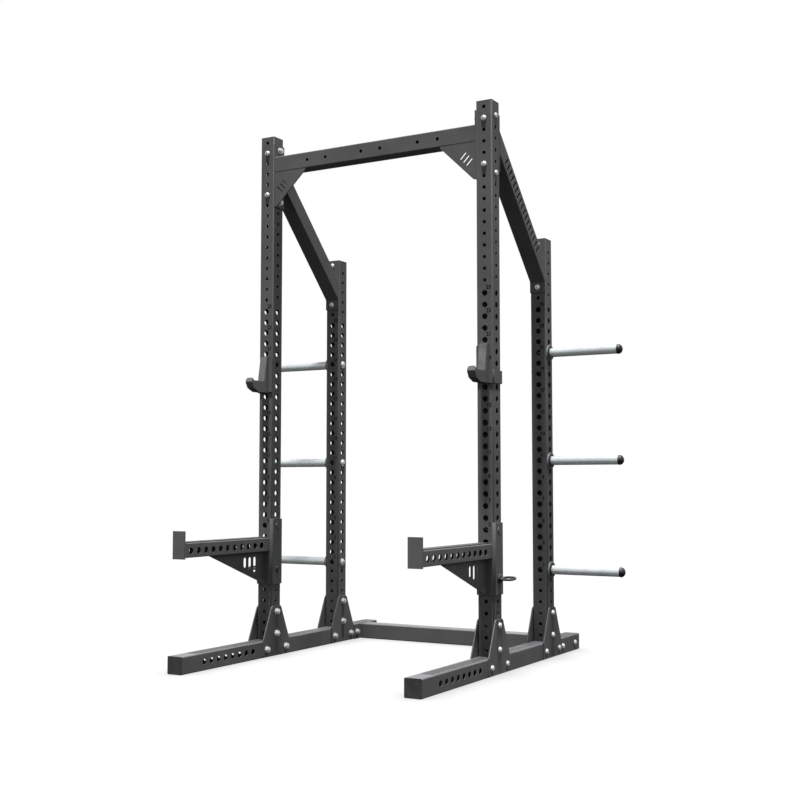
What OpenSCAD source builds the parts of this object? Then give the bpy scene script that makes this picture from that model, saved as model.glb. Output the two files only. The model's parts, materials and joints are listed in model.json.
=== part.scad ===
// Half rack for barbell training. Millimetres. +Z up, -Y towards the lifter, X to the side.
// Origin: on the floor, halfway between the rail ends and halfway between the two rails.

/* [Frame] */
// Outside width of every square frame tube
tube = 76.2; // [60:0.1:80]
// Wall thickness of the frame tubes
wall = 3; // [2:0.5:5]
// Outside corner radius of the frame tubes
tube_r = 5; // [3:0.5:8]
// Distance between left and right upright centres
span_x = 1152.4; // [1000:0.1:1300]
// Distance between front and rear upright centres
span_y = 582; // [400:1:800]
// Length of each floor rail
rail_len = 1607; // [1400:1:1800]
// How far the front upright centre stands behind the front end of the rail
front_reach = 676.5; // [500:0.5:800]
// Height of the front upright tops above the floor
front_top = 2470.8; // [2200:0.1:2600]
// Height of the rear upright tops above the floor
rear_top = 1963.2; // [1800:0.1:2200]

/* [Holes] */
// Distance between neighbouring holes in every row
pitch = 50.8; // [50:0.1:76.2]
// Diameter of the accessory holes, all four faces
pin_hole = 25.6; // [25.6:0.1:28]
// Diameter of the bolt holes
bolt_hole = 16; // [12:0.1:18]
// Number of accessory holes in each row
pin_count = 25; // [10:1:30]
// Height of the lowest accessory hole
pin_z = 405.2; // [300:0.1:500]
// Height of the lowest bolt hole
bolt_z = 105.6; // [90:0.1:130]
// Number of bolt holes in the foot of an upright
foot_count = 6; // [2:1:6]
// Number of rows of bolt pitch from the lowest bolt hole to the upper group
upper_row = 31; // [28:1:33]
// Rise of the upper side bolt holes above the upper front ones
side_rise = 15.2; // [15:0.1:20]

/* [Top crossmember] */
// Height of the crossmember centre line
cross_z = 2331.5; // [2200:0.1:2400]
// Thickness of the bolted plates
plate = 6; // [4:0.5:10]
// Leg length of the corner plates
corner_leg = 166; // [100:1:200]

/* [Side beams] */
// Height of the beam centre line where it crosses the front upright centre
slope_z = 2345; // [2300:1:2380]
// Number of lightening slots in the outer face of each beam
slot_n = 17; // [5:1:17]
// Distance from one slot to the next, measured front to rear
slot_step = 21; // [16:1:22]
// Width of one slot
slot_w = 12; // [6:1:14]
// Length of one slot between its two end centres
slot_run = 32; // [10:1:40]

/* [Rear crossmember] */
// Distance from rear upright centre back to the crossmember centre
rear_reach = 213; // [150:1:260]

/* [Plate pegs] */
// Peg diameter
peg_d = 42; // [38:0.5:48]
// Distance from the upright face to the tip of the end cap
peg_len = 361; // [250:1:420]
// End cap diameter
cap_d = 45.5; // [44:0.5:52]
// End cap length
cap_len = 24; // [22:1:50]
// Flange diameter
flange_d = 74; // [60:1:76]

/* [Bar cups] */
// Accessory hole that takes the cup pin
cup_hole = 20; // [6:1:24]
// Width of the cup saddle
cup_w = 38; // [34:1:60]
// Diameter of the cup, hinge and lock pins
pin_d = 25.45; // [22:0.05:25.45]
// Distance from upright centre to the front of the lip
lip_reach = 173; // [140:1:200]
// How far the foot of the back bar stands forward of its top
cup_lean = 20; // [0:1:24]

/* [Safety arms] */
// Outside size of the arm tube
arm_w = 63.5; // [50:0.5:76]
// Distance from upright centre to the front of the arm
arm_reach = 660; // [400:1:700]
// Height of the arm tube centre
arm_z = 520.6; // [400:0.1:700]
// Number of holes along the arm
arm_holes = 11; // [4:1:12]
// Diameter of the holes along the arm
arm_hole = 28.5; // [20:0.5:32]
// Clearance between bracket and upright
gap = 0.6; // [0.4:0.1:1.5]
// Outside radius of the two bends in the bracket
bend = 12; // [8:0.5:12]
// Accessory hole that takes the lock pin
lock_hole = 1; // [1:1:20]
// Distance from upright centre to the end of the lock pin handle
lock_reach = 121.5; // [110:0.5:140]
// Radius of the handle loop
loop_r = 22; // [18:1:26]
// Tilt of the handle about the pin
loop_tilt = 10; // [-20:1:20]

/* [Hidden] */
h = tube / 2;
xu = span_x / 2;
yf = -rail_len / 2 + front_reach;
yr = yf + span_y;
yc = yr + rear_reach;
hole_r = pin_hole / 2;
bolt_r = bolt_hole / 2;
shank_r = 7;
upper_z = bolt_z + upper_row * pitch;
front_n = 16;
rear_n = 6;
foot_bolt_y = 1.5 * pitch;
rail_hole_y = 174;
rail_hole_n = 8;
rail_pitch = 50;
head_r = 12;
peg_bolt_r = 8;
cap_depth = 8;
foot_top = 232.6;
foot_half = 101.6;
foot_shoulder = 84;
foot_base = 4;
arm_inset = h + gap;
arm_out = arm_inset + plate;
bracket_low = 335;
bracket_mid = 554;
bracket_high = 640;
hinge_hole = 5;
cup_z = 1281;
cup_back = 72;
cup_top = 1406;
band_low = cup_z - 46;
band_high = cup_z + 10;
seat_t = 6;
paint = [0.2, 0.2, 0.21];
zinc = [0.8, 0.81, 0.83];
black = [0.06, 0.06, 0.06];

function pin_at(n) = pin_z + (n - 1) * pitch;

// ---- shared shapes ----
// Bar with rounded long edges, along +Z from the origin
module round_bar(sx, sy, r, l) {
  translate([-sx / 2, -sy / 2 + r, 0]) cube([sx, sy - 2 * r, l]);
  translate([-sx / 2 + r, -sy / 2, 0]) cube([sx - 2 * r, sy, l]);
  for (a = [-1, 1], b = [-1, 1])
    translate([a * (sx / 2 - r), b * (sy / 2 - r), 0]) cylinder(r = r, h = l, $fn = 32);
}

// Hollow square tube along +Z
module box_tube(s, t, r, l) {
  difference() {
    round_bar(s, s, r, l);
    translate([0, 0, -1]) round_bar(s - 2 * t, s - 2 * t, max(r - t, 1), l + 2);
  }
}

module rod_x(r, l) { translate([-l / 2, 0, 0]) rotate([0, 90, 0]) cylinder(r = r, h = l, $fn = 48); }
module rod_y(r, l) { translate([0, l / 2, 0]) rotate([90, 0, 0]) cylinder(r = r, h = l, $fn = 48); }

// Domed bolt head on +Z
module dome_head(r, t) {
  rotate_extrude($fn = 48)
    polygon([[0, 0], [r, 0], [r, t * 0.28], [r * 0.93, t * 0.55], [r * 0.76, t * 0.82], [r * 0.48, t * 0.97], [r * 0.3, t], [0, t]]);
}

// Through bolt along +Z: head below z = 0, nut above z = grip
module through_bolt(grip) {
  translate([0, 0, -1.5]) cylinder(r = head_r + 0.8, h = 1.5, $fn = 48);
  rotate([180, 0, 0]) translate([0, 0, 1.5]) difference() {
    dome_head(head_r, 9);
    translate([0, 0, 5]) cylinder(r = 4.5, h = 10, $fn = 6);
  }
  cylinder(r = shank_r, h = grip + 18, $fn = 32);
  translate([0, 0, grip]) cylinder(r = 15, h = 2, $fn = 48);
  translate([0, 0, grip + 2]) cylinder(r = 13, h = 12, $fn = 6);
}

module bolt_right(x, y, z, grip) { translate([x, y, z]) rotate([0, -90, 0]) through_bolt(grip); }
module bolt_left(x, y, z, grip) { translate([x, y, z]) rotate([0, 90, 0]) through_bolt(grip); }
module bolt_back(x, y, z, grip) { translate([x, y, z]) rotate([-90, 0, 0]) through_bolt(grip); }

// ---- floor rails ----
module rail(x) {
  color(paint) difference() {
    translate([x, -rail_len / 2 + 3, h]) rotate([-90, 0, 0]) box_tube(tube, wall, tube_r, rail_len - 6);
    for (i = [0:rail_hole_n - 1]) translate([x, yf - rail_hole_y - i * rail_pitch, h]) rod_x(hole_r, tube + 10);
    for (y = [yf, yr, yc], s = [-1, 1]) translate([x, y + s * foot_bolt_y, h]) rod_x(bolt_r, tube + 10);
  }
}
module rail_left() rail(-xu);
module rail_right() rail(xu);

module rail_end_caps() color(black)
  for (x = [-xu, xu], s = [-1, 1]) translate([x, s * rail_len / 2, h]) rotate([s * 90, 0, 0]) {
    round_bar(tube, tube, tube_r, 3);
    translate([0, 0, 3]) difference() {
      round_bar(tube - 2 * wall - 0.4, tube - 2 * wall - 0.4, 2, 18);
      translate([0, 0, 1]) round_bar(tube - 2 * wall - 6, tube - 2 * wall - 6, 2, 20);
    }
  }

// ---- uprights ----
module upright(x, y, top, upper_n, side_n) {
  color(paint) difference() {
    translate([x, y, tube]) box_tube(tube, wall, tube_r, top - 3 - tube);
    for (i = [0:pin_count - 1]) translate([x, y, pin_z + i * pitch]) { rod_x(hole_r, tube + 10); rod_y(hole_r, tube + 10); }
    for (i = [0:foot_count - 1]) translate([x, y, bolt_z + i * pitch]) { rod_x(bolt_r, tube + 10); rod_y(bolt_r, tube + 10); }
    for (i = [0:upper_n - 1]) translate([x, y, upper_z + i * pitch]) rod_y(bolt_r, tube + 10);
    for (i = [0:side_n - 1]) translate([x, y, upper_z + side_rise + i * pitch]) rod_x(bolt_r, tube + 10);
  }
}
module upright_front_left() upright(-xu, yf, front_top, front_n, front_n - 1);
module upright_front_right() upright(xu, yf, front_top, front_n, front_n - 1);
module upright_rear_left() upright(-xu, yr, rear_top, rear_n, rear_n - 1);
module upright_rear_right() upright(xu, yr, rear_top, rear_n, rear_n - 1);

module upright_end_caps() color(black)
  for (x = [-xu, xu], p = [[yf, front_top], [yr, rear_top]]) translate([x, p[0], p[1]]) {
    translate([0, 0, -3]) round_bar(tube, tube, tube_r, 3);
    translate([0, 0, -16]) difference() {
      round_bar(tube - 2 * wall - 0.4, tube - 2 * wall - 0.4, 2, 13);
      translate([0, 0, -1]) round_bar(tube - 2 * wall - 6, tube - 2 * wall - 6, 2, 13);
    }
  }

// ---- foot plates ----
module foot_plate(x, y) {
  color(paint) translate([x, y, 0]) difference() {
    translate([-plate / 2, 0, 0]) rotate([90, 0, 90]) linear_extrude(height = plate)
      polygon([[-foot_half + 5, foot_base], [foot_half - 5, foot_base], [foot_half, foot_base + 5],
        [foot_half, foot_shoulder - 4], [foot_half - 3, foot_shoulder + 4], [h + 1, foot_top - 8], [h - 7, foot_top],
        [-h + 7, foot_top], [-h - 1, foot_top - 8], [-foot_half + 3, foot_shoulder + 4],
        [-foot_half, foot_shoulder - 4], [-foot_half, foot_base + 5]]);
    for (s = [-1, 1]) translate([0, s * foot_bolt_y, h]) rod_x(bolt_r, plate + 10);
    for (i = [0, 2]) translate([0, 0, bolt_z + i * pitch]) rod_x(bolt_r, plate + 10);
  }
}
fp = h + plate / 2;
module foot_plate_front_left_outer() foot_plate(-xu - fp, yf);
module foot_plate_front_left_inner() foot_plate(-xu + fp, yf);
module foot_plate_front_right_outer() foot_plate(xu + fp, yf);
module foot_plate_front_right_inner() foot_plate(xu - fp, yf);
module foot_plate_rear_left_outer() foot_plate(-xu - fp, yr);
module foot_plate_rear_left_inner() foot_plate(-xu + fp, yr);
module foot_plate_rear_right_outer() foot_plate(xu + fp, yr);
module foot_plate_rear_right_inner() foot_plate(xu - fp, yr);

module foot_bolts() color(zinc)
  for (y = [yf, yr], q = [[-foot_bolt_y, h], [foot_bolt_y, h], [0, bolt_z], [0, bolt_z + 2 * pitch]]) {
    bolt_right(xu + h + plate, y + q[0], q[1], tube + 2 * plate);
    bolt_left(-xu - h - plate, y + q[0], q[1], tube + 2 * plate);
  }

// ---- rear crossmember ----
module rear_crossmember() color(paint) {
  translate([-xu + h + plate, yc, h]) rotate([0, 90, 0]) box_tube(tube, wall, tube_r, span_x - tube - 2 * plate);
  for (s = [-1, 1]) difference() {
    translate([s * (xu - h - plate / 2) - plate / 2, yc - 2 * pitch, 1]) cube([plate, 4 * pitch, tube - 2]);
    for (t = [-1, 1]) translate([s * (xu - h), yc + t * foot_bolt_y, h]) rod_x(bolt_r, 30);
  }
}
module rear_crossmember_bolts() color(zinc)
  for (t = [-1, 1]) {
    bolt_right(xu + h, yc + t * foot_bolt_y, h, tube + plate);
    bolt_left(-xu - h, yc + t * foot_bolt_y, h, tube + plate);
  }

// ---- top crossmember ----
end_top = upper_z + side_rise + 14 * pitch + pitch / 2;
end_low = end_top - 6 * pitch;
module slot_y(l, w) {
  rod_y(w / 2, 30);
  translate([l, 0, 0]) rod_y(w / 2, 30);
  translate([0, -15, -w / 2]) cube([l, 30, w]);
}
module top_crossmember() color(paint) {
  difference() {
    translate([-xu + h + plate, yf, cross_z]) rotate([0, 90, 0]) box_tube(tube, wall, tube_r, span_x - tube - 2 * plate);
    for (s = [-1, 1], x = [pitch, 246, 246 + 2 * pitch]) translate([s * x, yf, cross_z]) rod_y(bolt_r, tube + 10);
  }
  for (s = [-1, 1]) {
    difference() {
      translate([s * (xu - h - plate / 2) - plate / 2, yf - h, end_low]) cube([plate, tube, end_top - end_low]);
      for (z = [upper_z + side_rise + 14 * pitch, upper_z + side_rise + 9 * pitch])
        translate([s * (xu - h), yf, z]) rod_x(bolt_r, 30);
    }
    difference() {
      translate([s * (xu - h - plate), yf - h + 1 + plate, cross_z - h + 1]) mirror([s > 0 ? 1 : 0, 0, 0])
        rotate([90, 0, 0]) linear_extrude(height = plate)
          polygon([[0, 0], [corner_leg + 6, 0], [corner_leg + 6, -8], [8, -corner_leg], [0, -corner_leg]]);
      for (d = [0, 1, 2])
        translate([s * (xu - h - 34 - d * 15), yf - h, cross_z - h - 86 + d * 15]) rotate([0, s > 0 ? 225 - 90 : 45 , 0]) translate([-16, 0, 0]) slot_y(32, 8);
    }
  }
}
module top_crossmember_bolts() color(zinc)
  for (i = [14, 9]) {
    bolt_right(xu + h, yf, upper_z + side_rise + i * pitch, tube + plate);
    bolt_left(-xu - h, yf, upper_z + side_rise + i * pitch, tube + plate);
  }

// ---- sloping side beams ----
beam_mid_y = (yf + yr) / 2;
beam_mid_z = slope_z - span_y / 2;
module side_beam(x, s) {
  color(paint) {
    difference() {
      translate([x, beam_mid_y, beam_mid_z]) rotate([-135, 0, 0]) translate([0, 0, -500]) box_tube(tube, wall, tube_r, 1000);
      translate([x - 60, yf - 700 + h + plate, 1000]) cube([120, 700, 2000]);
      translate([x - 60, yr - h - plate, 1000]) cube([120, 700, 2000]);
      for (i = [0:slot_n - 1]) translate([x + s * h, yf + 116 + i * slot_step, slope_z - 116 - i * slot_step]) rotate([-45, 0, 0]) {
        for (v = [-1, 1]) translate([0, 0, v * slot_run / 2]) rod_x(slot_w / 2, 20);
        translate([-10, -slot_w / 2, -slot_run / 2]) cube([20, slot_w, slot_run]);
      }
    }
    difference() {
      translate([x - h, yf + h, upper_z + 10 * pitch - pitch / 2]) cube([tube, plate, 5 * pitch]);
      for (i = [10, 14]) translate([x, yf + h, upper_z + i * pitch]) rod_y(bolt_r, 30);
    }
    difference() {
      translate([x - h, yr - h - plate, upper_z + pitch - pitch / 2]) cube([tube, plate, 5 * pitch]);
      for (i = [1, 5]) translate([x, yr - h, upper_z + i * pitch]) rod_y(bolt_r, 30);
    }
  }
}
module side_beam_left() side_beam(-xu, -1);
module side_beam_right() side_beam(xu, 1);
module side_beam_bolts() color(zinc)
  for (x = [-xu, xu]) {
    for (i = [10, 14]) bolt_back(x, yf - h, upper_z + i * pitch, tube + plate);
    for (i = [1, 5]) bolt_back(x, yr - h - plate, upper_z + i * pitch, tube + plate);
  }

// ---- plate pegs ----
peg_holes = [1, 11, 21];
module on_side(s, n) { translate([s * (xu + h), yr, pin_at(n)]) rotate([0, s * 90, 0]) children(); }
module peg(s, n) color(zinc) on_side(s, n) {
  difference() {
    union() {
      translate([0, 0, -wall + 0.1]) cylinder(r = hole_r - 0.2, h = wall, $fn = 48);
      cylinder(r = flange_d / 2, h = 6, $fn = 64);
      cylinder(r = peg_d / 2, h = 36, $fn = 64);
    }
    translate([0, 0, -wall - 1]) cylinder(r = peg_bolt_r + 0.2, h = 50, $fn = 32);
  }
  translate([0, 0, 36]) difference() {
    cylinder(r = peg_d / 2, h = peg_len - 36 - cap_len + cap_depth, $fn = 64);
    translate([0, 0, -1]) cylinder(r = peg_d / 2 - 4, h = peg_len, $fn = 48);
  }
}
module peg_left_low() peg(-1, peg_holes[0]);
module peg_left_middle() peg(-1, peg_holes[1]);
module peg_left_high() peg(-1, peg_holes[2]);
module peg_right_low() peg(1, peg_holes[0]);
module peg_right_middle() peg(1, peg_holes[1]);
module peg_right_high() peg(1, peg_holes[2]);
module peg_washers() color(black)
  for (s = [-1, 1], n = peg_holes) on_side(s, n) translate([0, 0, 6]) difference() {
    cylinder(r = flange_d / 2 - 3, h = 5, $fn = 64);
    translate([0, 0, -1]) cylinder(r = peg_d / 2 + 0.2, h = 7, $fn = 64);
  }
module peg_caps(s) color(black)
  for (n = peg_holes) on_side(s, n) translate([0, 0, peg_len - cap_len]) difference() {
    rotate_extrude($fn = 64) polygon(concat([[0, 0], [cap_d / 2, 0]],
      [for (a = [0:9:81]) [cap_d / 2 * cos(a), 5 + (cap_len - 5) * sin(a)]], [[0, cap_len]]));
    translate([0, 0, -1]) cylinder(r = peg_d / 2 + 0.1, h = cap_depth + 1, $fn = 64);
  }
module peg_caps_left() peg_caps(-1);
module peg_caps_right() peg_caps(1);
module peg_bolts() color(zinc)
  for (s = [-1, 1], n = peg_holes) translate([s * (xu - h), yr, pin_at(n)]) rotate([0, s * 90, 0]) {
    translate([0, 0, -3]) cylinder(r = 18, h = 3, $fn = 64);
    cylinder(r = hole_r - 0.2, h = wall - 0.1, $fn = 48);
    rotate([180, 0, 0]) translate([0, 0, 3]) difference() {
      dome_head(14, 8);
      translate([0, 0, 4]) cylinder(r = 5, h = 10, $fn = 6);
    }
    cylinder(r = peg_bolt_r, h = tube + 30, $fn = 32);
  }

// ---- bar cups ----
// s is +1 for the right cup and -1 for the left one
module cup(s) color(paint) translate([s * xu, yf, 0]) mirror([s < 0 ? 1 : 0, 0, 0]) {
  // back plate against the upright, and the leaning back bar on it
  difference() {
    union() {
      translate([-h, -arm_out, band_low + 4]) cube([h + 19, plate, cup_top - band_low - 14]);
      translate([-19, 0, 0]) rotate([90, 0, 90]) linear_extrude(height = 38)
        polygon([[-arm_inset, band_low + 4], [-arm_inset, cup_top], [-cup_back + cup_lean, cup_top],
          [-cup_back, cup_z + seat_t], [-cup_back, band_low + 4]]);
    }
    translate([0, -26, pin_at(cup_hole)]) rod_y(pin_d / 2, 50);
  }
  // saddle, lip and underside, with clipped top corners
  difference() {
    translate([-cup_w / 2, 0, 0]) rotate([90, 0, 90]) linear_extrude(height = cup_w)
    polygon([[-arm_inset, band_low], [-arm_inset, cup_z + 6], [-cup_back, cup_z + 6], [-cup_back, cup_z], [-lip_reach + 22, cup_z],
      [-lip_reach + 15, cup_z + 4], [-lip_reach + 12, cup_z + 18], [-lip_reach + 7, cup_z + 18], [-lip_reach, cup_z - 1],
      [-lip_reach + 1, cup_z - 6], [-lip_reach + 15, cup_z - 30], [-lip_reach + 55, band_low]]);
    for (t = [-1, 1]) translate([t * cup_w / 2, -lip_reach + 8, cup_z + 19]) rotate([0, 45, 0]) cube([11, 40, 11], center = true);
  }
  // band round the outer side of the upright
  translate([-19, -arm_out, band_low]) cube([arm_out - 19, plate, band_high - band_low]);
  translate([0, -arm_out, band_low]) cube([arm_out - 6, plate, band_high - band_low]);
  translate([arm_inset, -arm_out + 6, band_low]) cube([plate, 2 * arm_out - 12, band_high - band_low]);
  translate([20, arm_inset, band_low]) cube([arm_out - 26, plate, band_high - band_low]);
  for (t = [-1, 1]) intersection() {
    translate([arm_out - 6, t * (arm_out - 6), band_low]) cylinder(r = 6, h = band_high - band_low, $fn = 32);
    translate([arm_inset, t > 0 ? arm_inset : -arm_out, band_low]) cube([plate, plate, band_high - band_low]);
  }
}
function face_y(z) = -cup_back + cup_lean * (z - cup_z - seat_t) / (cup_top - cup_z - seat_t);
module cup_liner(s) color(black) translate([s * xu, yf, 0]) mirror([s < 0 ? 1 : 0, 0, 0]) {
  translate([-18, 0, 0]) rotate([90, 0, 90]) linear_extrude(height = 36)
    polygon([[-cup_back, cup_z + seat_t], [face_y(cup_top - 4), cup_top - 4],
      [face_y(cup_top - 4) - seat_t, cup_top - 4], [-cup_back - seat_t, cup_z + seat_t]]);
  translate([-cup_w / 2, -lip_reach + 22, cup_z]) cube([cup_w, lip_reach - 22 - cup_back, seat_t]);
}
module cup_pin(s) color(zinc) translate([s * xu, yf, pin_at(cup_hole)]) {
  translate([0, -3.5, 0]) rod_y(pin_d / 2, 95);
  translate([0, 44, 0]) rotate([-90, 0, 0]) cylinder(r1 = pin_d / 2, r2 = pin_d / 2 - 3, h = 3, $fn = 48);
}
module cup_left() cup(-1);
module cup_right() cup(1);
module cup_liner_left() cup_liner(-1);
module cup_liner_right() cup_liner(1);
module cup_pin_left() cup_pin(-1);
module cup_pin_right() cup_pin(1);

// ---- safety arms ----
module arm(s) color(paint) translate([s * xu, yf, 0]) {
  difference() {
    translate([0, -arm_reach + 8, arm_z]) rotate([-90, 0, 0]) box_tube(arm_w, 3, 4, arm_reach - 8 - arm_out);
    for (i = [0:arm_holes - 1]) translate([0, -105 - i * pitch, arm_z - 2.5]) rod_x(arm_hole / 2, 100);
  }
  // stop plate at the front end
  translate([0, -arm_reach, 483]) translate([-arm_w / 2, 0, 0]) cube([arm_w, 8, 120]);
  // web under the tube
  difference() {
    translate([-2.5, 0, 0]) rotate([90, 0, 90]) linear_extrude(height = 5)
      polygon([[-arm_out, arm_z - arm_w / 2 + 1], [-456, arm_z - arm_w / 2 + 1], [-456, arm_z - arm_w / 2 - 1], [-arm_out, bracket_low + 2]]);
    for (p = [[-118, 50], [-155, 38], [-192, 26]]) translate([0, p[0], 456]) {
      for (z = [0, -p[1]]) translate([0, 0, z]) rod_x(11, 20);
      translate([-10, -11, -p[1]]) cube([20, 22, p[1]]);
    }
  }
}
module arm_liner(s) color(black) translate([s * xu, yf, 0]) {
  translate([-28, -arm_reach + 8, arm_z + arm_w / 2]) cube([56, arm_reach - 8 - arm_out, 4]);
}
module arm_bracket(s) color(paint) translate([s * xu, yf, 0]) difference() {
  union() {
    // front plate and both flanges with bent corners
    translate([-arm_out + bend, -arm_out, bracket_low]) cube([2 * (arm_out - bend), plate, bracket_mid - bracket_low]);
    for (t = [-1, 1]) {
      top = t > 0 ? bracket_high : bracket_mid;
      translate([t > 0 ? arm_inset : -arm_out, -arm_out + bend, bracket_low]) cube([plate, arm_out + h - bend, top - bracket_low]);
      intersection() {
        difference() {
          translate([t * (arm_out - bend), -arm_out + bend, bracket_low]) cylinder(r = bend, h = top - bracket_low, $fn = 48);
          translate([t * (arm_out - bend), -arm_out + bend, bracket_low - 1]) cylinder(r = bend - plate, h = top - bracket_low + 2, $fn = 32);
        }
        translate([t > 0 ? arm_out - bend : -arm_out, -arm_out, bracket_low]) cube([bend, bend, top - bracket_low]);
      }
    }
  }
  translate([0, 0, pin_at(lock_hole)]) rod_x(pin_hole / 2, 120);
  translate([arm_out, 0, pin_at(hinge_hole)]) rod_x(pin_d / 2, 30);
}
module arm_hinge_pin(s) color(paint) translate([s * xu, yf, pin_at(hinge_hole)]) {
  translate([1.5, 0, 0]) rod_x(pin_d / 2, 2 * arm_out + 3);
}
// Lock pin with a collar and a flat loop handle on the outer side
module lock_pin(s) color(paint) translate([s * xu, yf, pin_at(lock_hole)]) mirror([s < 0 ? 1 : 0, 0, 0]) {
  translate([-arm_out - 3, 0, 0]) rotate([0, 90, 0]) cylinder(r = pin_d / 2, h = 2 * arm_out + 4, $fn = 48);
  translate([-arm_out - 6, 0, 0]) rotate([0, 90, 0]) cylinder(r1 = 9, r2 = pin_d / 2, h = 3, $fn = 48);
  translate([arm_out + 0.4, 0, 0]) rotate([0, 90, 0]) cylinder(r = 19.5, h = 7, $fn = 48);
  translate([arm_out + 7.4, 0, 0]) rotate([0, 90, 0]) cylinder(r1 = 19.5, r2 = 10, h = 4, $fn = 48);
  rod = 5;
  x0 = arm_out + 8 + rod + loop_r;
  x1 = lock_reach - rod - loop_r;
  rotate([loop_tilt, 0, 0]) {
    for (t = [-1, 1]) translate([x0, t * loop_r, 0]) rotate([0, 90, 0]) cylinder(r = rod, h = x1 - x0, $fn = 24);
    translate([x1, 0, 0]) rotate([0, 0, -90]) rotate_extrude(angle = 180, $fn = 48) translate([loop_r, 0]) circle(r = rod, $fn = 24);
    translate([x0, 0, 0]) rotate([0, 0, 90]) rotate_extrude(angle = 180, $fn = 48) translate([loop_r, 0]) circle(r = rod, $fn = 24);
  }
}
module arm_left() arm(-1);
module arm_right() arm(1);
module arm_liner_left() arm_liner(-1);
module arm_liner_right() arm_liner(1);
module arm_bracket_left() arm_bracket(-1);
module arm_bracket_right() arm_bracket(1);
module arm_hinge_pin_left() arm_hinge_pin(-1);
module arm_hinge_pin_right() arm_hinge_pin(1);
module lock_pin_left() lock_pin(-1);
module lock_pin_right() lock_pin(1);

rail_left();
rail_right();
rail_end_caps();
upright_front_left();
upright_front_right();
upright_rear_left();
upright_rear_right();
upright_end_caps();
foot_plate_front_left_outer();
foot_plate_front_left_inner();
foot_plate_front_right_outer();
foot_plate_front_right_inner();
foot_plate_rear_left_outer();
foot_plate_rear_left_inner();
foot_plate_rear_right_outer();
foot_plate_rear_right_inner();
foot_bolts();
rear_crossmember();
rear_crossmember_bolts();
top_crossmember();
top_crossmember_bolts();
side_beam_left();
side_beam_right();
side_beam_bolts();
peg_left_low();
peg_left_middle();
peg_left_high();
peg_right_low();
peg_right_middle();
peg_right_high();
peg_washers();
peg_caps_left();
peg_caps_right();
peg_bolts();
cup_left();
cup_liner_left();
cup_pin_left();
cup_right();
cup_liner_right();
cup_pin_right();
arm_left();
arm_liner_left();
arm_bracket_left();
arm_hinge_pin_left();
lock_pin_left();
arm_right();
arm_liner_right();
arm_bracket_right();
arm_hinge_pin_right();
lock_pin_right();
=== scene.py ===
import json
import math

import bmesh
import bpy
from mathutils import Matrix, Vector


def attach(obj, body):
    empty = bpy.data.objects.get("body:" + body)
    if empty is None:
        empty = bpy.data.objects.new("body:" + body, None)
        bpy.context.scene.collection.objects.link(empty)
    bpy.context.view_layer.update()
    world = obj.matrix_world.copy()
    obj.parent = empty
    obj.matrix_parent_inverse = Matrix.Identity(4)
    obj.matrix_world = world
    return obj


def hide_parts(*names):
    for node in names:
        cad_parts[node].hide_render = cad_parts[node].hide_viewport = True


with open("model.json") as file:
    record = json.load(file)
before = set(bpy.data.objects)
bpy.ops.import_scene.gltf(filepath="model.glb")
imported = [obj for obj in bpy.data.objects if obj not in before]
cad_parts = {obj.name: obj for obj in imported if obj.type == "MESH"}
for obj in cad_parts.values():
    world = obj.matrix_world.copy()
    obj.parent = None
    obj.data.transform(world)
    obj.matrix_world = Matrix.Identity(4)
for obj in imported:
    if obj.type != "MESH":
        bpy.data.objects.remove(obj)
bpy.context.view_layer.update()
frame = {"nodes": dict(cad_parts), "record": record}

# ---- sizes shared with the CAD, in metres ----
TUBE = 0.0762                    # outer width of the frame tubes
H = TUBE / 2
PLATE = 0.006                    # thickness of the bolted plates
PITCH = 0.0508                   # distance between neighbouring holes
XU = 0.5762                      # upright axes, left and right of the middle
YF, YR = -0.127, 0.455           # axes of the front and rear uprights
YC = 0.668                       # axis of the rear floor crossmember
TOP_Z = 2.3315                   # axis of the top crossmember
PIN_Z = 0.4052                   # lowest accessory hole
BOLT_Z = 0.1056                  # lowest bolt hole
UPPER_Z = BOLT_Z + 31 * PITCH    # start of the upper group of bolt holes
SIDE_RISE = 0.0152               # upper side bolt holes above the upper front ones
FOOT_BOLT = 1.5 * PITCH          # lower foot bolts, in front of and behind the upright axis
GAP = 0.0006                     # between an arm bracket and its upright
BRACKET_FRONT = YF - (H + GAP + PLATE)
BRACKET_WEB_LOW = 0.340          # lower end of the weld between web and bracket
ARM_TUBE, ARM_Z = 0.0635, 0.5206
ARM_WEB_FRONT = YF - 0.440       # front end of the weld between web and arm tube
WEB_HALF = 0.0025                # from the middle of the web to its weld
PEG_HOLES = (1, 11, 21)          # accessory holes that carry a plate peg
PEG_LEN, CAP_LEN = 0.361, 0.024  # upright face to the tip; end cap
PEG_R, CAP_R, FLANGE_R = 0.021, 0.02275, 0.037
SIDES = (("left", -1), ("right", 1))


def pin_at(n):
    return PIN_Z + (n - 1) * PITCH


# ---- materials ----
def nodes_of(name):
    mat = bpy.data.materials.new(name)
    mat.use_nodes = True
    nt = mat.node_tree
    bsdf = nt.nodes["Principled BSDF"]
    return mat, nt, bsdf


def noise(nt, scale, detail=3.0, rough=0.55, stretch=None):
    coord = nt.nodes.new("ShaderNodeTexCoord")
    out = coord.outputs["Object"]
    if stretch:
        m = nt.nodes.new("ShaderNodeMapping")
        m.inputs["Scale"].default_value = stretch
        nt.links.new(out, m.inputs["Vector"])
        out = m.outputs["Vector"]
    n = nt.nodes.new("ShaderNodeTexNoise")
    n.inputs["Scale"].default_value = scale
    n.inputs["Detail"].default_value = detail
    n.inputs["Roughness"].default_value = rough
    nt.links.new(out, n.inputs["Vector"])
    return n.outputs["Fac"]


def ramp(nt, value, stops):
    r = nt.nodes.new("ShaderNodeValToRGB")
    el = r.color_ramp.elements
    while len(el) < len(stops):
        el.new(0.5)
    for e, (p, c) in zip(el, stops):
        e.position = p
        e.color = (c, c, c, 1) if isinstance(c, float) else (*c, 1)
    nt.links.new(value, r.inputs["Fac"])
    return r.outputs["Color"]


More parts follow.
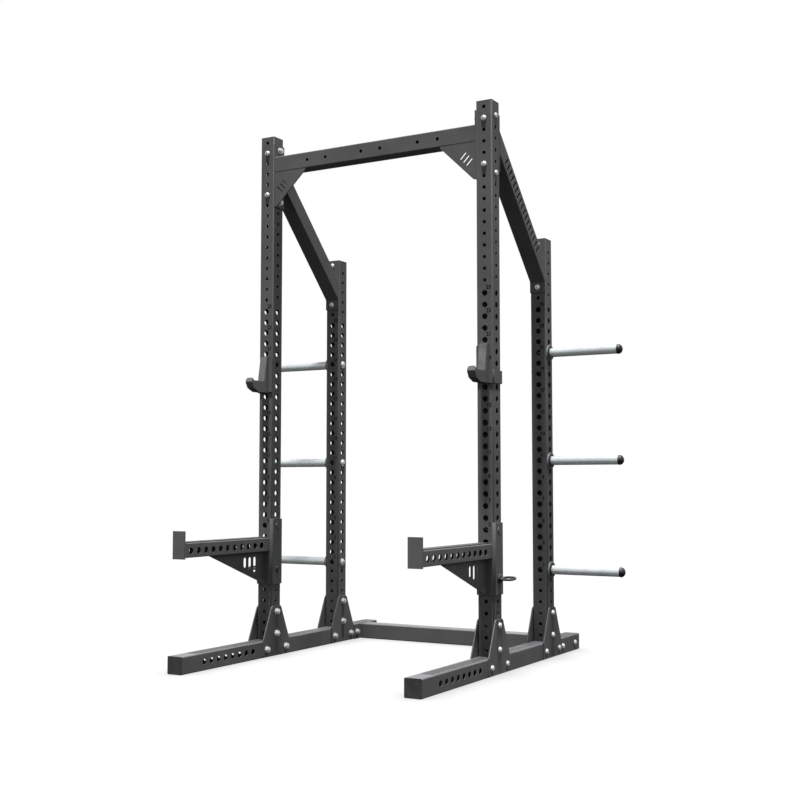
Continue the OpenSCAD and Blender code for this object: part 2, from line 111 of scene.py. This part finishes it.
def to_range(nt, value, lo, hi, a=0.0, b=1.0):
    m = nt.nodes.new("ShaderNodeMapRange")
    m.inputs["From Min"].default_value = a
    m.inputs["From Max"].default_value = b
    m.inputs["To Min"].default_value = lo
    m.inputs["To Max"].default_value = hi
    nt.links.new(value, m.inputs["Value"])
    return m.outputs["Result"]


def bump(nt, bsdf, layers):
    """layers: (height socket, strength, distance), laid one over the other."""
    last = None
    for height, strength, distance in layers:
        b = nt.nodes.new("ShaderNodeBump")
        b.inputs["Strength"].default_value = strength
        b.inputs["Distance"].default_value = distance
        nt.links.new(height, b.inputs["Height"])
        if last:
            nt.links.new(last, b.inputs["Normal"])
        last = b.outputs["Normal"]
    nt.links.new(last, bsdf.inputs["Normal"])


def powder_coat(name, dark, light, gloss=(0.52, 0.64)):
    """Fine-textured powder coat: a tight sandy grain over a slow orange peel."""
    mat, nt, bsdf = nodes_of(name)
    grain = noise(nt, 1500, 2.0)
    peel = noise(nt, 260, 2.0)
    cloud = noise(nt, 5, 4.0)
    nt.links.new(ramp(nt, cloud, [(0.3, dark), (0.7, light)]), bsdf.inputs["Base Color"])
    nt.links.new(to_range(nt, peel, gloss[0], gloss[1], 0.3, 0.7), bsdf.inputs["Roughness"])
    bsdf.inputs["Specular IOR Level"].default_value = 0.05
    bump(nt, bsdf, [(peel, 0.25, 0.0003), (grain, 0.35, 0.00012)])
    return mat


def brushed(name, dark, light, gloss, stretch, scale=900, metal=1.0):
    """Plated or drawn metal with a fine grain; a low metal value gives the milky look of dull zinc."""
    mat, nt, bsdf = nodes_of(name)
    bsdf.inputs["Metallic"].default_value = metal
    line = noise(nt, scale, 3.0, 0.6, stretch)
    cloud = noise(nt, 18, 5.0, 0.6)
    nt.links.new(ramp(nt, cloud, [(0.3, dark), (0.7, light)]), bsdf.inputs["Base Color"])
    nt.links.new(to_range(nt, line, gloss[0], gloss[1], 0.3, 0.7), bsdf.inputs["Roughness"])
    bump(nt, bsdf, [(line, 0.12, 0.00008)])
    return mat


def moulded(name, colour, gloss, grain_scale=1100, strength=0.3, shine=0.15):
    """Moulded rubber or plastic with a fine leathery grain."""
    mat, nt, bsdf = nodes_of(name)
    grain = noise(nt, grain_scale, 3.0)
    cloud = noise(nt, 30, 3.0)
    lighter = tuple(min(1.0, c * 1.5 + 0.004) for c in colour)
    nt.links.new(ramp(nt, cloud, [(0.3, colour), (0.75, lighter)]), bsdf.inputs["Base Color"])
    nt.links.new(to_range(nt, cloud, gloss[0], gloss[1], 0.3, 0.7), bsdf.inputs["Roughness"])
    bsdf.inputs["Specular IOR Level"].default_value = shine
    bump(nt, bsdf, [(grain, strength, 0.0001)])
    return mat


COAT = powder_coat("powder_coat", (0.045, 0.045, 0.047), (0.058, 0.058, 0.060))
WELD = powder_coat("powder_coat_weld", (0.034, 0.034, 0.036), (0.048, 0.048, 0.050), (0.4, 0.55))
LOCK_COAT = powder_coat("powder_coat_handle", (0.018, 0.018, 0.019), (0.026, 0.026, 0.027))
ZINC = brushed("fastener_zinc", (0.46, 0.47, 0.48), (0.58, 0.59, 0.60), (0.38, 0.5),
               stretch=(1, 1, 1), scale=500, metal=0.4)
PEG = brushed("peg_zinc", (0.40, 0.43, 0.44), (0.48, 0.51, 0.52), (0.45, 0.56),
              stretch=(0.02, 1, 1), metal=0.25)
# darker copy of the peg zinc for the flange: painted shade, the zinc drawn as if shaded
SHADED_FLANGE_ZINC = brushed("peg_flange_zinc", (0.13, 0.135, 0.14), (0.18, 0.185, 0.19), (0.5, 0.6),
                 stretch=(1, 1, 1), scale=500, metal=0.3)
# dark pin steel; also put on the peg bolt shanks as painted shade
PIN_STEEL_AND_SHANK_SHADE = brushed("pin_steel", (0.10, 0.10, 0.103), (0.17, 0.17, 0.173), (0.4, 0.52),
                stretch=(1, 0.05, 1), metal=0.6)
RUBBER = moulded("black_rubber", (0.006, 0.006, 0.006), (0.5, 0.65))
PLASTIC = moulded("black_plastic", (0.016, 0.016, 0.017), (0.42, 0.55), grain_scale=700, strength=0.2)
LINER = moulded("liner_plastic", (0.042, 0.042, 0.043), (0.5, 0.62), grain_scale=420, strength=0.25)
ARM_PAD = moulded("liner_plastic_dark", (0.012, 0.012, 0.0125), (0.5, 0.62), grain_scale=420, strength=0.25)
MARK, mark_nt, mark_bsdf = nodes_of("hole_number")
mark_ink = ramp(mark_nt, noise(mark_nt, 900, 2.0), [(0.35, 0.002), (0.7, 0.004)])
mark_nt.links.new(mark_ink, mark_bsdf.inputs["Base Color"])
mark_bsdf.inputs["Roughness"].default_value = 0.9
mark_bsdf.inputs["Specular IOR Level"].default_value = 0.1
BY_SLOT = {
    "powder_coat": COAT, "fastener_zinc": ZINC, "peg_zinc": PEG, "pin_steel": PIN_STEEL_AND_SHANK_SHADE,
    "black_rubber": RUBBER, "black_plastic": PLASTIC, "liner_plastic": LINER,
}
# pieces whose name starts so look darker than the rest of their slot
BY_NAME = (("arm_liner", ARM_PAD), ("lock_pin", LOCK_COAT))


# ---- mesh helpers ----
def add_object(name, bm, mat, smooth_angle=35):
    me = bpy.data.meshes.new(name)
    bmesh.ops.recalc_face_normals(bm, faces=bm.faces)
    for e in bm.edges:
        if len(e.link_faces) == 2 and e.calc_face_angle(0) > math.radians(smooth_angle):
            e.smooth = False
    for f in bm.faces:
        f.smooth = True
    bm.to_mesh(me)
    bm.free()
    ob = bpy.data.objects.new(name, me)
    bpy.context.scene.collection.objects.link(ob)
    for m in mat if isinstance(mat, (list, tuple)) else [mat]:
        me.materials.append(m)
    return ob


def aim(pos, axis):
    """Matrix that puts local +Z along axis at pos."""
    return Matrix.Translation(Vector(pos)) @ Vector(axis).to_track_quat("Z", "Y").to_matrix().to_4x4()


def ring(bm, place, radius, z, segs):
    """Ring of vertices round local +Z; radius is a number or a function of the angle."""
    verts = []
    for i in range(segs):
        a = 2 * math.pi * i / segs
        r = radius(a) if callable(radius) else radius
        verts.append(bm.verts.new(place @ Vector((r * math.cos(a), r * math.sin(a), z))))
    return verts


def skin(bm, rings):
    """Faces between neighbouring rings; a ring may be a single point."""
    for a, b in zip(rings, rings[1:]):
        segs = max(len(a), len(b))
        for i in range(segs):
            j = (i + 1) % segs
            if len(a) == 1:
                bm.faces.new((a[0], b[i], b[j]))
            elif len(b) == 1:
                bm.faces.new((a[i], a[j], b[0]))
            else:
                bm.faces.new((a[i], a[j], b[j], b[i]))


def lathe(bm, profile, place, segs):
    """Adds a turned shape: profile is (radius, height) from bottom to top."""
    rings = []
    for r, z in profile:
        if r < 1e-6:
            rings.append([bm.verts.new(place @ Vector((0, 0, z)))])
        else:
            rings.append(ring(bm, place, r, z, segs))
    skin(bm, rings)


def arc(cx, cz, r, a0, a1, n):
    """Points of a round stretch of a profile, from angle a0 to a1 in n steps."""
    angles = [math.radians(a0 + (a1 - a0) * i / n) for i in range(n + 1)]
    return [(cx + r * math.cos(a), cz + r * math.sin(a)) for a in angles]


def hexagon(r):
    """Radius of a hexagon with corners at r, as a function of the angle."""
    def edge(angle):
        k = (angle % (math.pi / 3)) - math.pi / 6
        return r * math.cos(math.pi / 6) / math.cos(k)
    return edge


def bolt_head(bm, place, r, t, socket):
    """Domed socket head: a rounded cap with a hexagon recess, seated at z = 0 and rising along +Z."""
    segs = 48
    rim = [(r * 0.985, 0.0), (r, t * 0.05), (r, t * 0.2)]
    angles = [math.radians(8 * i) for i in range(1, 10)]
    dome = [(r * math.cos(a), t * 0.2 + t * 0.8 * math.sin(a)) for a in angles]
    dome = [p for p in dome if p[0] > socket * 1.28]
    lathe(bm, [(0, 0.0)] + rim + dome, place, segs)
    top_r, top_z = dome[-1]
    rings = [ring(bm, place, top_r, top_z, segs)]
    for share, height in ((1.12, 1.0), (1.0, 0.97), (0.98, 0.35)):
        rings.append(ring(bm, place, hexagon(socket * share), t * height, segs))
    skin(bm, rings)
    bm.faces.new(rings[-1])


def washer(bm, place, r, t, bore, z0=0.0):
    """Flat washer with softened outer edges."""
    c = min(0.0004, t * 0.3)
    top = z0 + t
    lathe(bm, [(bore, z0), (r - c, z0), (r, z0 + c), (r, top - c), (r - c, top), (bore, top), (bore, z0)],
          place, 56)


def nut(bm, place, r, t, z0):
    """Hexagon nut with chamfered corners on both faces."""
    flat = hexagon(r)
    profile = ((0.86, 0), (0.93, 0.05), (1.2, 0.14), (1.2, 0.86),
               (0.93, 0.95), (0.86, 1), (0.56, 1), (0.54, 0.9))
    skin(bm, [
        ring(bm, place, lambda a, limit=r * share: min(limit, flat(a)), z0 + t * height, 48)
        for share, height in profile
    ])


def thread(bm, place, r, z0, z1, pitch=0.002):
    """Threaded end: a helical ridge wound on a rod, with a chamfered tip."""
    segs, turns = 28, int((z1 - z0 - 0.0015) / pitch)
    root = r - 0.0011
    ridge = ((root, 0), (r, pitch * 0.42), (r, pitch * 0.55), (root, pitch * 0.97))
    prev = None
    for k in range(turns * segs + 1):
        a = 2 * math.pi * k / segs
        z = z0 + pitch * k / segs
        row = [bm.verts.new(place @ Vector((rr * math.cos(a), rr * math.sin(a), z + dz))) for rr, dz in ridge]
        if prev:
            for i in range(3):
                bm.faces.new((prev[i], row[i], row[i + 1], prev[i + 1]))
        prev = row
    end = z0 + pitch * turns
    lathe(bm, [(r - 0.001, z0), (r - 0.001, end + pitch), (r - 0.0025, z1), (0, z1)], place, segs)


def through_bolts(name, places, grip, parent_nodes):
    """One piece for a group of through bolts: domed head and washer below z = 0, nut above z = grip."""
    bore, shank_r = 0.0071, 0.0069
    head_washer_t, nut_washer_t = 0.0015, 0.002
    bm = bmesh.new()
    for pos, axis in places:
        out = aim(pos, [-v for v in axis])
        into = aim(pos, axis)
        washer(bm, out, 0.0127, head_washer_t, bore)
        bolt_head(bm, out @ Matrix.Translation((0, 0, head_washer_t)), r=0.012, t=0.0088, socket=0.0042)
        washer(bm, into, 0.015, nut_washer_t, bore, grip)
        nut(bm, into, r=0.013, t=0.012, z0=grip + nut_washer_t)
        thread(bm, into, r=0.007, z0=grip + 0.0135, z1=grip + 0.0178)
        lathe(bm, [(shank_r, 0.0), (shank_r, grip + 0.014)], into, 24)
    ob = add_object(name, bm, ZINC, 32)
    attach(ob, "frame")
    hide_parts(*parent_nodes)


# ---- carried-over CAD pieces: finish and softened edges ----
slot_of = {s["node"]: s["material_slot"] for s in frame["record"]["subparts"]}
for name, ob in frame["nodes"].items():
    mat = next((m for start, m in BY_NAME if name.startswith(start)), BY_SLOT[slot_of[name]])
    ob.data.materials.clear()
    ob.data.materials.append(mat)
    weld = ob.modifiers.new("weld", "WELD")
    weld.merge_threshold = 0.00002
    bev = ob.modifiers.new("edge", "BEVEL")
    bev.width = 0.0006 if slot_of[name] == "powder_coat" else 0.0004
    bev.segments = 2
    bev.limit_method = "ANGLE"
    bev.angle_limit = math.radians(40)
    bev.harden_normals = True

# ---- bolts ----
foot_holes = ((-FOOT_BOLT, H), (FOOT_BOLT, H), (0, BOLT_Z), (0, BOLT_Z + 2 * PITCH))
through_bolts("foot_bolt_set", [
    ((s * (XU + H + PLATE), y + dy, z), (-s, 0, 0))
    for y in (YF, YR) for dy, z in foot_holes for s in (-1, 1)
], TUBE + 2 * PLATE, ["foot_bolts"])
through_bolts("rear_crossmember_bolt_set", [
    ((s * (XU + H), YC + t * FOOT_BOLT, H), (-s, 0, 0)) for s in (-1, 1) for t in (-1, 1)
], TUBE + PLATE, ["rear_crossmember_bolts"])
through_bolts("top_crossmember_bolt_set", [
    ((s * (XU + H), YF, UPPER_Z + SIDE_RISE + i * PITCH), (-s, 0, 0)) for s in (-1, 1) for i in (14, 9)
], TUBE + PLATE, ["top_crossmember_bolts"])
through_bolts("side_beam_bolt_set", [
    ((x, YF - H, UPPER_Z + i * PITCH), (0, 1, 0)) for x in (-XU, XU) for i in (10, 14)
] + [
    ((x, YR - H - PLATE, UPPER_Z + i * PITCH), (0, 1, 0)) for x in (-XU, XU) for i in (1, 5)
], TUBE + PLATE, ["side_beam_bolts"])

# ---- plate pegs: turned profiles from the upright face outwards ----
PEG_TUBE_END = PEG_LEN - CAP_LEN
DOME_R = CAP_R - 0.0003
FLANGE_END = 0.009               # the flange and its fillet end here, and the bright tube starts; faces short of this take the darker flange zinc, painted shade
peg_profile = (
    [(0.0, 0.0), (FLANGE_R - 0.0008, 0.0), (FLANGE_R, 0.0008)]
    + arc(FLANGE_R - 0.0012, 0.0048, 0.0012, 0, 90, 4)
    + [(PEG_R + 0.0032, 0.006), (PEG_R + 0.0008, 0.0088), (PEG_R, 0.0095), (PEG_R, PEG_TUBE_END - 0.002)]
    + [(PEG_R, PEG_TUBE_END + 0.006), (0, PEG_TUBE_END + 0.006)]
)
# end cap with a rolled lip and a domed end
dome_angles = [math.radians(6 * i) for i in range(1, 15)]
cap_profile = (
    [(PEG_R + 0.0001, PEG_TUBE_END + 0.0006), (PEG_R + 0.0009, PEG_TUBE_END)]
    + arc(CAP_R - 0.0007, PEG_TUBE_END + 0.0007, 0.0007, -70, 0, 3)
    + [(CAP_R, PEG_TUBE_END + 0.0036), (DOME_R, PEG_TUBE_END + 0.0042)]
    + [(DOME_R * math.cos(a), PEG_TUBE_END + 0.005 + (CAP_LEN - 0.0052) * math.sin(a)) for a in dome_angles]
    + [(0, PEG_LEN - 0.0002)]
)
# black washer in front of the flange
washer_profile = (
    [(PEG_R + 0.0003, 0.0062), (0.0330, 0.0062)]
    + arc(0.0328, 0.0075, 0.0012, -90, 0, 3)
    + arc(0.0328, 0.0095, 0.0012, 0, 90, 4)
    + [(PEG_R + 0.0008, 0.0108), (PEG_R + 0.0003, 0.0104)]
)
# bolt shank inside the upright, with a collar in each wall; it takes the dark pin steel as painted shade, the
# zinc darkened as if shaded inside the tube
COLLAR_R, SHANK_R = 0.0125, 0.008
shank_profile = [
    (0.0, 0.0002), (COLLAR_R, 0.0002), (COLLAR_R, 0.0028), (SHANK_R, 0.0029),
    (SHANK_R, TUBE - 0.0029), (COLLAR_R, TUBE - 0.0028), (COLLAR_R, TUBE - 0.0002), (0.0, TUBE - 0.0002),
]

caps = {"left": bmesh.new(), "right": bmesh.new()}
washers = bmesh.new()
bolts = bmesh.new()
shanks = bmesh.new()
for side, s in SIDES:
    for level, n in zip(("low", "middle", "high"), PEG_HOLES):
        place = aim((s * (XU + H), YR, pin_at(n)), (s, 0, 0))
        bm = bmesh.new()
        lathe(bm, peg_profile, place, 96)
        ob = add_object("peg_%s_%s_turned" % (side, level), bm, [PEG, SHADED_FLANGE_ZINC], 30)
        # faces of the flange and its fillet take the darker zinc: painted shade
        for face in ob.data.polygons:
            face.material_index = int(abs(face.center.x) < XU + H + FLANGE_END)
        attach(ob, "frame")
        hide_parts("peg_%s_%s" % (side, level))
        lathe(caps[side], cap_profile, place, 80)
        lathe(washers, washer_profile, place, 72)
        # the bolt comes from the inner side
        inner_face = (s * (XU - H), YR, pin_at(n))
        inner = aim(inner_face, (-s, 0, 0))
        washer(bolts, inner, 0.018, 0.003, 0.0081)
        bolt_head(bolts, inner @ Matrix.Translation((0, 0, 0.003)), r=0.014, t=0.0078, socket=0.0048)
        lathe(shanks, shank_profile, aim(inner_face, (s, 0, 0)), 48)
for side, s in SIDES:
    ob = add_object("peg_caps_%s_moulded" % side, caps[side], RUBBER)
    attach(ob, "frame")
    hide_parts("peg_caps_" + side)
ob = add_object("peg_washer_rings", washers, RUBBER)
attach(ob, "frame")
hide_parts("peg_washers")
ob = add_object("peg_bolt_set", bolts, ZINC, 32)
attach(ob, "frame")
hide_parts("peg_bolts")
# painted shade: the shanks use the dark pin steel so the zinc reads as shaded inside the tube
ob = add_object("peg_bolt_shanks", shanks, PIN_STEEL_AND_SHANK_SHADE, 32)
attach(ob, "frame")


# ---- hole numbers: odd numbers up each front face ----
DIGIT_SIZE, DIGIT_DEPTH = 0.0235, 0.00012
DIGIT_ASIDE, DIGIT_ABOVE = 0.0185, 0.024  # from the hole's middle to the number's


def numbers(name, x, y):
    bm = bmesh.new()
    for n in range(1, 26, 2):
        cu = bpy.data.curves.new("digits", "FONT")
        cu.body = str(n)
        cu.size = DIGIT_SIZE
        cu.offset = 0.0008
        cu.align_x = "CENTER"
        cu.align_y = "CENTER"
        cu.extrude = DIGIT_DEPTH
        cu.resolution_u = 4
        tmp = bpy.data.objects.new("digits", cu)
        bpy.context.scene.collection.objects.link(tmp)
        bpy.context.view_layer.update()
        me = bpy.data.meshes.new_from_object(tmp.evaluated_get(bpy.context.evaluated_depsgraph_get()))
        spot = Vector((x + DIGIT_ASIDE, y - DIGIT_DEPTH / 2, pin_at(n) + DIGIT_ABOVE))
        me.transform(Matrix.Translation(spot) @ Matrix.Rotation(math.radians(90), 4, "X"))
        bm.from_mesh(me)
        bpy.data.objects.remove(tmp)
        bpy.data.curves.remove(cu)
        bpy.data.meshes.remove(me)
    ob = add_object(name, bm, MARK, 30)
    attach(ob, "frame")


for side, s in SIDES:
    numbers("hole_numbers_front_" + side, s * XU, YF - H)
    numbers("hole_numbers_rear_" + side, s * XU, YR - H)


# ---- weld beads ----
def bead(bm, path, out, width=0.0032, ripple=0.0035):
    """A rippled fillet of weld along a path of points; out is the direction it stands out."""
    pts = [Vector(p) for p in path]
    section = [math.pi * i / 6 for i in range(7)]
    out = Vector(out).normalized()
    samples = []
    for a, b in zip(pts, pts[1:]):
        n = max(2, int((b - a).length / (ripple / 4)))
        samples += [(a.lerp(b, i / n), (b - a).normalized()) for i in range(n)]
    samples.append((pts[-1], (pts[-1] - pts[-2]).normalized()))
    prev = None
    travelled = 0.0
    for k, (p, d) in enumerate(samples):
        if k:
            travelled += (p - samples[k - 1][0]).length
        side = d.cross(out).normalized()
        phase = (travelled / ripple) % 1.0
        w = width * (0.86 + 0.14 * math.sin(math.pi * phase))
        if k < 2 or k > len(samples) - 3:
            w *= 0.55
        row = [bm.verts.new(p + side * (w * math.cos(t)) + out * (w * 0.8 * math.sin(t))) for t in section]
        if prev:
            for i in range(6):
                bm.faces.new((prev[i], prev[i + 1], row[i + 1], row[i]))
        prev = row


def weld_piece(name, beads):
    bm = bmesh.new()
    for path, out in beads:
        bead(bm, path, out)
    ob = add_object(name, bm, WELD, 60)
    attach(ob, "frame")


TUBE_BEAD = H - 0.006            # half a bead's length across a face of the tube
ARM_BEAD = ARM_TUBE / 2 - 0.005  # the same on the narrower arm tube


def end_bead(x, y, z, s, across, up):
    """Bead on one face of a tube that runs along X: across picks the front or back, up the bottom or top."""
    y, z = y + across * H, z + up * H
    along = Vector((0, TUBE_BEAD, 0)) if up else Vector((0, 0, TUBE_BEAD))
    middle = Vector((x, y, z))
    return (middle - along, middle + along), (-s, across, up)


for side, s in SIDES:
    # crossmember ends against their plates
    x = s * (XU - H - PLATE)
    weld_piece("weld_top_crossmember_%s" % side, [end_bead(x, YF, TOP_Z, s, 0, t) for t in (-1, 1)])
    weld_piece("weld_rear_crossmember_%s" % side, [
        end_bead(x, YC, H, s, -1, 0), end_bead(x, YC, H, s, 1, 0), end_bead(x, YC, H, s, 0, 1),
    ])
    # arm tube and web against the bracket, and web against the arm tube
    x, y, arm_low = s * XU, BRACKET_FRONT, ARM_Z - ARM_TUBE / 2
    arm_beads = []
    for t in (-1, 1):
        at = x + t * ARM_TUBE / 2
        arm_beads.append((((at, y, ARM_Z - ARM_BEAD), (at, y, ARM_Z + ARM_BEAD)), (t, -1, 0)))
    for t in (-1, 1):
        at = x + t * WEB_HALF
        arm_beads.append((((at, y, BRACKET_WEB_LOW), (at, y, arm_low - 0.001)), (t, -1, 0)))
    for t in (-1, 1):
        at = x + t * WEB_HALF
        arm_beads.append((((at, y - 0.002, arm_low), (at, ARM_WEB_FRONT, arm_low)), (t, 0, -1)))
    weld_piece("weld_arm_%s" % side, arm_beads)

# ---- floor, light, camera ----
# the floor glows and takes no shadow from the suns; its contact shadow is painted shade: an ambient-occlusion
# value darkens the glow
floor_mat, nt, bsdf = nodes_of("studio_floor")
bsdf.inputs["Base Color"].default_value = (0, 0, 0, 1)
bsdf.inputs["Roughness"].default_value = 1.0
bsdf.inputs["Specular IOR Level"].default_value = 0.0
bsdf.inputs["Emission Strength"].default_value = 1.02
painted_contact_shadow = nt.nodes.new("ShaderNodeAmbientOcclusion")
painted_contact_shadow.inputs["Distance"].default_value = 0.16
painted_contact_shadow.samples = 16
nt.links.new(ramp(nt, painted_contact_shadow.outputs["AO"], [(0.45, 0.7), (0.97, 1.0)]), bsdf.inputs["Emission Color"])
bm = bmesh.new()
bmesh.ops.create_grid(bm, x_segments=1, y_segments=1, size=150)
floor = add_object("studio_floor", bm, floor_mat)
floor.visible_diffuse = False
floor.visible_glossy = False

# dome that lights and is reflected, but isn't seen itself: brightest just above the
# horizon, weaker overhead, dark near the ground
DOME_RADIUS = 30
DOME_GLOW = [(0.30, 0.08), (0.49, 0.25), (0.53, 1.0), (0.72, 1.0), (0.82, 0.4), (1.0, 0.25)]
dome_mat = bpy.data.materials.new("studio_dome")
dome_mat.use_nodes = True
nt = dome_mat.node_tree
nt.nodes.clear()
coord = nt.nodes.new("ShaderNodeTexCoord")
sep = nt.nodes.new("ShaderNodeSeparateXYZ")
nt.links.new(coord.outputs["Object"], sep.inputs["Vector"])
glow = ramp(nt, to_range(nt, sep.outputs["Z"], 0, 1, -DOME_RADIUS, DOME_RADIUS), DOME_GLOW)
emit = nt.nodes.new("ShaderNodeEmission")
nt.links.new(glow, emit.inputs["Color"])
emit.inputs["Strength"].default_value = 1.35
out = nt.nodes.new("ShaderNodeOutputMaterial")
nt.links.new(emit.outputs["Emission"], out.inputs["Surface"])
bm = bmesh.new()
bmesh.ops.create_uvsphere(bm, u_segments=48, v_segments=32, radius=DOME_RADIUS)
dome = add_object("studio_dome", bm, dome_mat)
dome.visible_camera = False
dome.visible_shadow = False

# the world is the white background: only the camera sees it
world = bpy.data.worlds.new("studio")
bpy.context.scene.world = world
world.use_nodes = True
world.node_tree.nodes["Background"].inputs["Color"].default_value = (1, 1, 1, 1)
for flag in ("diffuse", "glossy", "transmission", "scatter"):
    setattr(world.cycles_visibility, flag, False)

bright_metal = [
    ob for ob in bpy.context.scene.objects
    if ob.type == "MESH" and ob.data.materials and ob.data.materials[0] in (ZINC, PEG)
]


def sun(name, direction, strength, spread, for_metal):
    """Parallel light along direction, for the bright metal pieces alone or for all the others."""
    li = bpy.data.lights.new(name, "SUN")
    li.energy = strength
    li.angle = math.radians(spread)
    ob = bpy.data.objects.new(name, li)
    bpy.context.scene.collection.objects.link(ob)
    ob.rotation_euler = Vector(direction).to_track_quat("-Z", "Y").to_euler()
    lit = bpy.data.collections.new(name + "_lit")
    for piece in bright_metal:
        lit.objects.link(piece)
    for entry in lit.collection_objects:
        entry.light_linking.link_state = "INCLUDE" if for_metal else "EXCLUDE"
    ob.light_linking.receiver_collection = lit


sun("overhead_front", (0, 0.22, -1), 13.5, 4, False)
sun("overhead_side", (-0.20, 0, -1), 9, 4, False)
sun("metal_key", (-0.15, 0.27, -1), 6, 8, True)

CAMERA_AT = (2.8120, -4.8268, 0.8073)
CAMERA_TILT, CAMERA_TURN = 3.94, 29.66   # degrees above level, and to the left of +Y
cam = bpy.data.cameras.new("camera")
cam.lens = 54.393
cam.sensor_width = 36
cam.clip_end = 200
cam_ob = bpy.data.objects.new("camera", cam)
bpy.context.scene.collection.objects.link(cam_ob)
cam_ob.location = CAMERA_AT
cam_ob.rotation_euler = (math.radians(90 + CAMERA_TILT), 0, math.radians(CAMERA_TURN))
bpy.context.scene.camera = cam_ob
bpy.context.scene.view_settings.view_transform = "Standard"
